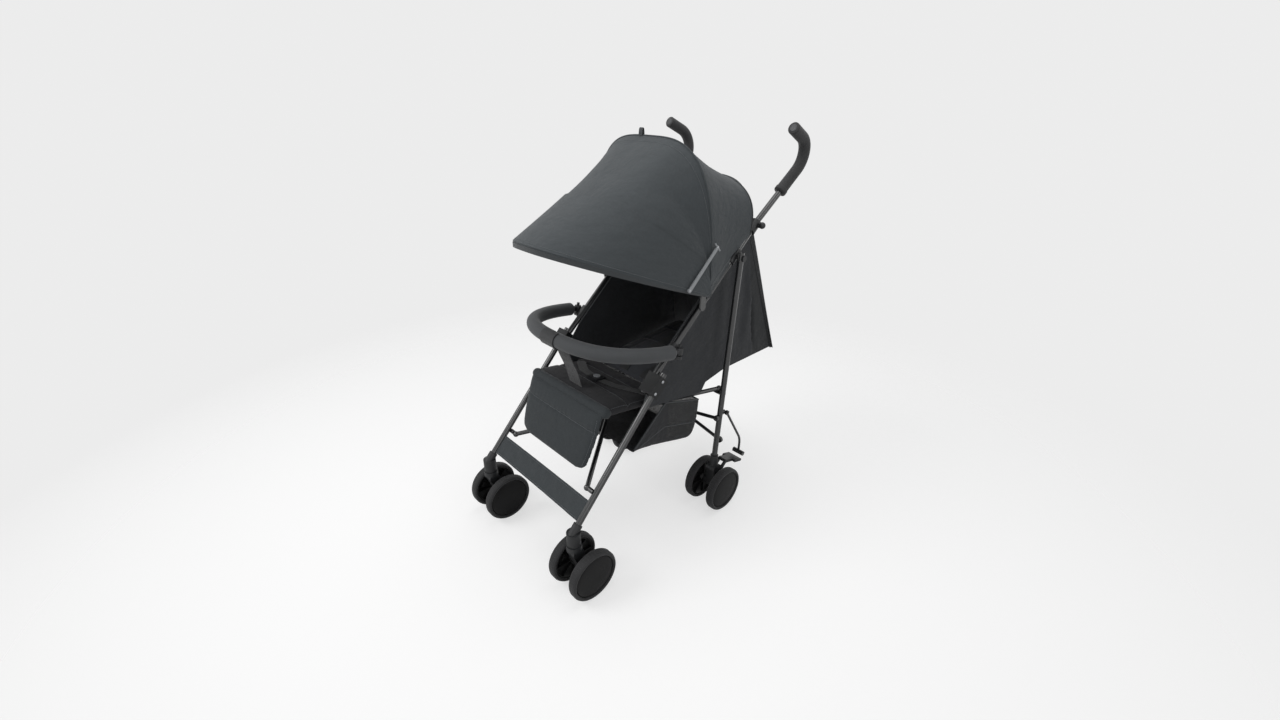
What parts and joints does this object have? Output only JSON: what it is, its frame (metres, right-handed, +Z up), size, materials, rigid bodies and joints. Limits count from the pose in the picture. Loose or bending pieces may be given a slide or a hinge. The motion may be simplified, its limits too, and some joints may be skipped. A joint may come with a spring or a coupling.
{
  "type": "umbrella stroller",
  "caption": "Folding umbrella stroller with hooked handles, twin swivel front wheels, reclining sling seat, padded bumper bar, deep canopy and under-seat basket.",
  "frame": {"origin": "on the floor under the middle of the bounding box", "axes": "+Z up, -Y the way the child faces, +X to the child's left"},
  "size_m": [0.518, 0.8512, 1.0512],
  "materials": {
    "frame_black": "satin black powder coat",
    "plastic_black": "fine grain",
    "plastic_grey": "satin grey",
    "grip_foam": "closed-cell foam",
    "bumper_foam": "closed-cell foam",
    "axle_steel": "plain",
    "wheel": "foam tread on a smooth disc",
    "wing_cloth": "plain weave",
    "seat_cloth": "plain weave",
    "calf_cloth": "plain weave",
    "canopy_cloth": "plain weave",
    "mesh_cloth": "mesh",
    "hoop_plastic": "plain"
  },
  "bodies": {
    "seat": {"seat_pad": "seat_cloth", "calf_rest": "calf_cloth", "basket": "mesh_cloth", "footrest_strap": "calf_cloth", "crotch_strap": "seat_cloth", "buckle": "plastic_black", "canopy_rear": "canopy_cloth", "rear_curtain": "canopy_cloth", "main_hoop": "hoop_plastic"},
    "frame_l": {"front_leg_l": "frame_black", "push_tube_l": "frame_black", "grip_l": "grip_foam", "mid_bracket_l": "plastic_grey", "bumper_socket_l": "plastic_black", "upper_block_l": "plastic_black", "leg_hinge_l": "plastic_black", "caster_socket_l": "plastic_black", "side_wing_l": "wing_cloth"},
    "frame_r": {"front_leg_r": "frame_black", "push_tube_r": "frame_black", "grip_r": "grip_foam", "mid_bracket_r": "plastic_grey", "bumper_socket_r": "plastic_black", "upper_block_r": "plastic_black", "leg_hinge_r": "plastic_black", "caster_socket_r": "plastic_black", "side_wing_r": "wing_cloth"},
    "rear_l": {"rear_leg_l": "frame_black", "rear_hub_l": "plastic_black", "rear_axle_l": "axle_steel"},
    "caster_l": {"caster_fork_l": "plastic_black", "front_axle_l": "axle_steel"},
    "front_wheel_outer_l": {"front_wheel_outer_l": "wheel"},
    "rear_wheel_outer_l": {"rear_wheel_outer_l": "wheel"},
    "front_wheel_inner_l": {"front_wheel_inner_l": "wheel"},
    "rear_wheel_inner_l": {"rear_wheel_inner_l": "wheel"},
    "brake_l": {"brake_pedal_l": "plastic_black"},
    "cross_l": {"cross_bar_l": "frame_black"},
    "rear_bar_l": {"rear_cross_bar_l": "frame_black"},
    "bumper_l": {"bumper_l": "bumper_foam"},
    "stay_l": {"canopy_stay_l": "plastic_grey"},
    "rear_r": {"rear_leg_r": "frame_black", "rear_hub_r": "plastic_black", "rear_axle_r": "axle_steel"},
    "caster_r": {"caster_fork_r": "plastic_black", "front_axle_r": "axle_steel"},
    "front_wheel_outer_r": {"front_wheel_outer_r": "wheel"},
    "rear_wheel_outer_r": {"rear_wheel_outer_r": "wheel"},
    "front_wheel_inner_r": {"front_wheel_inner_r": "wheel"},
    "rear_wheel_inner_r": {"rear_wheel_inner_r": "wheel"},
    "brake_r": {"brake_pedal_r": "plastic_black"},
    "cross_r": {"cross_bar_r": "frame_black"},
    "rear_bar_r": {"rear_cross_bar_r": "frame_black"},
    "bumper_r": {"bumper_r": "bumper_foam"},
    "stay_r": {"canopy_stay_r": "plastic_grey"},
    "lever": {"fold_lever": "frame_black"},
    "backrest": {"backrest": "seat_cloth"},
    "canopy": {"canopy_visor": "canopy_cloth", "front_hoop": "hoop_plastic"},
    "button": {"buckle_button": "plastic_grey"}
  },
  "joints": [
    {"name": "close_l", "type": "slide", "parent": "seat", "child": "frame_l", "axis": [-1, 0, 0], "range_m": [0, 0.1205]},
    {"name": "close_r", "type": "slide", "parent": "seat", "child": "frame_r", "axis": [1, 0, 0], "range_m": [0, 0.1205]},
    {"name": "fold", "type": "hinge", "parent": "frame_l", "child": "rear_l", "pos_m": [0.196, 0.16814, 0.7388], "axis": [-1, 0, 0], "range_deg": [0, 33], "deforming": ["seat_pad", "backrest", "calf_rest", "basket", "footrest_strap", "crotch_strap", "canopy_visor", "canopy_rear", "rear_curtain", "front_hoop", "main_hoop", "side_wing_l", "side_wing_r"]},
    {"name": "swivel_l", "type": "hinge", "parent": "frame_l", "child": "caster_l", "pos_m": [0.191, -0.38156, 0.15], "axis": [0, 0, 1], "continuous": true},
    {"name": "front_spin_outer_l", "type": "hinge", "parent": "caster_l", "child": "front_wheel_outer_l", "pos_m": [0.231, -0.35956, 0.066], "axis": [1, 0, 0], "continuous": true},
    {"name": "rear_spin_outer_l", "type": "hinge", "parent": "rear_l", "child": "rear_wheel_outer_l", "pos_m": [0.246, 0.12144, 0.066], "axis": [1, 0, 0], "continuous": true},
    {"name": "front_spin_inner_l", "type": "hinge", "parent": "caster_l", "child": "front_wheel_inner_l", "pos_m": [0.151, -0.35956, 0.066], "axis": [1, 0, 0], "continuous": true},
    {"name": "rear_spin_inner_l", "type": "hinge", "parent": "rear_l", "child": "rear_wheel_inner_l", "pos_m": [0.166, 0.12144, 0.066], "axis": [1, 0, 0], "continuous": true},
    {"name": "brake_press_l", "type": "hinge", "parent": "rear_l", "child": "brake_l", "pos_m": [0.206, 0.14344, 0.112], "axis": [-1, 0, 0], "range_deg": [0, 14]},
    {"name": "cross_turn_l", "type": "hinge", "parent": "frame_l", "child": "cross_l", "pos_m": [0.163, -0.31553, 0.26329], "axis": [0.5692, 0.5913, -0.5713], "range_deg": [0, 43.09]},
    {"name": "rear_bar_turn_l", "type": "hinge", "parent": "rear_l", "child": "rear_bar_l", "pos_m": [0.20453, 0.14067, 0.20949], "axis": [0, 0.9968, -0.0801], "range_deg": [0, 55.14]},
    {"name": "bumper_turn_l", "type": "hinge", "parent": "frame_l", "child": "bumper_l", "pos_m": [0.197, -0.05028, 0.54951], "axis": [0, 0.1564, 0.9877], "range_deg": [0, 30.05]},
    {"name": "fold_r", "type": "hinge", "parent": "frame_r", "child": "rear_r", "pos_m": [-0.196, 0.16814, 0.7388], "axis": [-1, 0, 0], "range_deg": [0, 33.05]},
    {"name": "swivel_r", "type": "hinge", "parent": "frame_r", "child": "caster_r", "pos_m": [-0.191, -0.38156, 0.15], "axis": [0, 0, 1], "continuous": true},
    {"name": "front_spin_outer_r", "type": "hinge", "parent": "caster_r", "child": "front_wheel_outer_r", "pos_m": [-0.231, -0.35956, 0.066], "axis": [1, 0, 0], "continuous": true},
    {"name": "rear_spin_outer_r", "type": "hinge", "parent": "rear_r", "child": "rear_wheel_outer_r", "pos_m": [-0.246, 0.12144, 0.066], "axis": [1, 0, 0], "continuous": true},
    {"name": "front_spin_inner_r", "type": "hinge", "parent": "caster_r", "child": "front_wheel_inner_r", "pos_m": [-0.151, -0.35956, 0.066], "axis": [1, 0, 0], "continuous": true},
    {"name": "rear_spin_inner_r", "type": "hinge", "parent": "rear_r", "child": "rear_wheel_inner_r", "pos_m": [-0.166, 0.12144, 0.066], "axis": [1, 0, 0], "continuous": true},
    {"name": "brake_press_r", "type": "hinge", "parent": "rear_r", "child": "brake_r", "pos_m": [-0.206, 0.14344, 0.112], "axis": [-1, 0, 0], "range_deg": [0, 14]},
    {"name": "cross_turn_r", "type": "hinge", "parent": "frame_r", "child": "cross_r", "pos_m": [-0.163, -0.30753, 0.24943], "axis": [0.5692, -0.5913, 0.5713], "range_deg": [0, 43.09]},
    {"name": "rear_bar_turn_r", "type": "hinge", "parent": "rear_r", "child": "rear_bar_r", "pos_m": [-0.20453, 0.11077, 0.2119], "axis": [0, -0.9968, 0.0801], "range_deg": [0, 55.14]},
    {"name": "bumper_turn_r", "type": "hinge", "parent": "frame_r", "child": "bumper_r", "pos_m": [-0.197, -0.05028, 0.54951], "axis": [0, -0.1564, -0.9877], "range_deg": [0, 30.05]},
    {"name": "lever_lift", "type": "hinge", "parent": "rear_l", "child": "lever", "pos_m": [0.20308, 0.15286, 0.29879], "axis": [1, 0, 0], "range_deg": [0, 25], "stiffness_Nm_per_rad": 4, "springref_deg": -11.46},
    {"name": "recline", "type": "hinge", "parent": "seat", "child": "backrest", "pos_m": [0, -0.03025, 0.40032], "axis": [1, 0, 0], "range_deg": [0, 60]},
    {"name": "visor", "type": "hinge", "parent": "seat", "child": "canopy", "pos_m": [0, 0.04812, 0.67149], "axis": [-1, 0, 0], "range_deg": [0, 20]},
    {"name": "stay_turn_l", "type": "hinge", "parent": "frame_l", "child": "stay_l", "pos_m": [0.2054, 0.05612, 0.78649], "axis": [-1, 0, 0], "range_deg": [0, 5.47]},
    {"name": "stay_turn_r", "type": "hinge", "parent": "frame_r", "child": "stay_r", "pos_m": [-0.2054, 0.05612, 0.78649], "axis": [-1, 0, 0], "range_deg": [0, 5.47]},
    {"name": "button_press", "type": "slide", "parent": "seat", "child": "button", "axis": [0, -0.1564, -0.9877], "range_m": [0, 0.0025], "stiffness_N_per_m": 400}
  ],
  "couplings": [
    {"joint": "close_l", "follows": "fold", "m_per_rad": 0.20835},
    {"joint": "cross_turn_l", "follows": "fold", "ratio": 1.3043},
    {"joint": "rear_bar_turn_l", "follows": "fold", "ratio": 1.6694},
    {"joint": "bumper_turn_l", "follows": "fold", "ratio": 0.90909},
    {"joint": "fold_r", "follows": "fold", "ratio": 1},
    {"joint": "close_r", "follows": "fold", "m_per_rad": 0.20835},
    {"joint": "cross_turn_r", "follows": "fold", "ratio": 1.3043},
    {"joint": "rear_bar_turn_r", "follows": "fold", "ratio": 1.6694},
    {"joint": "bumper_turn_r", "follows": "fold", "ratio": 0.90909},
    {"joint": "stay_turn_l", "follows": "visor", "ratio": 0.27087},
    {"joint": "stay_turn_r", "follows": "visor", "ratio": 0.27087}
  ]
}
